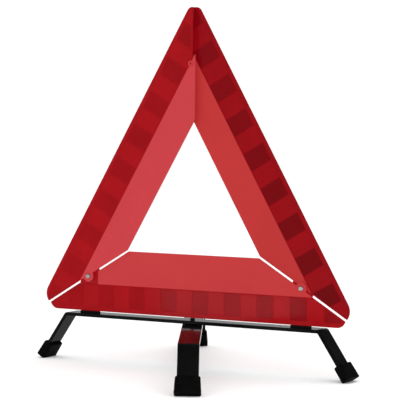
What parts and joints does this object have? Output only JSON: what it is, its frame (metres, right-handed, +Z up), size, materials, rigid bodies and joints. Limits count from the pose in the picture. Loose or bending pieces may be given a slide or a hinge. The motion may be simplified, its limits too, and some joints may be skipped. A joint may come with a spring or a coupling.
{
  "type": "folding warning triangle",
  "caption": "Folding roadside warning triangle: red reflective bars hinged at the lower corners, standing on two crossed black steel strips with rubber boots.",
  "frame": {"origin": "on the floor, under the vertical pivot at the middle of the crossed stand strips", "axes": "+X along the base bar to the right seen from the front, the reflective face looks along -Y, +Z up"},
  "size_m": [0.451, 0.434, 0.4563],
  "materials": {
    "reflector_red": "gloss",
    "fluorescent_red": "satin",
    "housing_red": "satin",
    "catch_red": "satin",
    "strip_black": "gloss black paint",
    "block_black": "satin",
    "rubber_black": "matte",
    "fastener_black": "satin",
    "rivet_steel": "bright"
  },
  "bodies": {
    "base": {"base_fluorescent_panel": "fluorescent_red", "base_housing": "housing_red", "base_reflector_lens": "reflector_red", "left_block_screw": "rivet_steel", "left_hinge_rivet": "rivet_steel", "left_hinge_washer": "rivet_steel", "left_mount_block": "block_black", "left_strip_rivet": "fastener_black", "long_strip": "strip_black", "long_strip_left_boot": "rubber_black", "long_strip_right_boot": "rubber_black", "right_block_screw": "rivet_steel", "right_hinge_front_washer": "rivet_steel", "right_hinge_rear_washer": "rivet_steel", "right_hinge_rivet": "rivet_steel", "right_mount_block": "block_black", "right_strip_rivet": "fastener_black", "stand_pivot_lower_washer": "fastener_black", "stand_pivot_rivet": "fastener_black", "stand_pivot_spacer_washer": "fastener_black"},
    "left_arm": {"left_arm_fluorescent_panel": "fluorescent_red", "left_arm_housing": "housing_red", "left_arm_reflector_lens": "reflector_red", "apex_socket": "housing_red"},
    "right_arm": {"right_arm_fluorescent_panel": "fluorescent_red", "right_arm_housing": "housing_red", "right_arm_reflector_lens": "reflector_red", "apex_stud": "catch_red"},
    "cross_leg": {"cross_strip": "strip_black", "cross_strip_front_boot": "rubber_black", "cross_strip_rear_boot": "rubber_black"}
  },
  "joints": [
    {"name": "left_arm_fold", "type": "hinge", "parent": "base", "child": "left_arm", "pos_m": [-0.1526, 0, 0.1104], "axis": [0, 1, 0], "range_deg": [0, 59]},
    {"name": "right_arm_fold", "type": "hinge", "parent": "base", "child": "right_arm", "pos_m": [0.1526, 0, 0.1104], "axis": [0, -1, 0], "range_deg": [0, 59]},
    {"name": "cross_leg_swivel", "type": "hinge", "parent": "base", "child": "cross_leg", "pos_m": [0, 0, 0.056], "axis": [0, 0, 1], "range_deg": [-106, 50]}
  ]
}
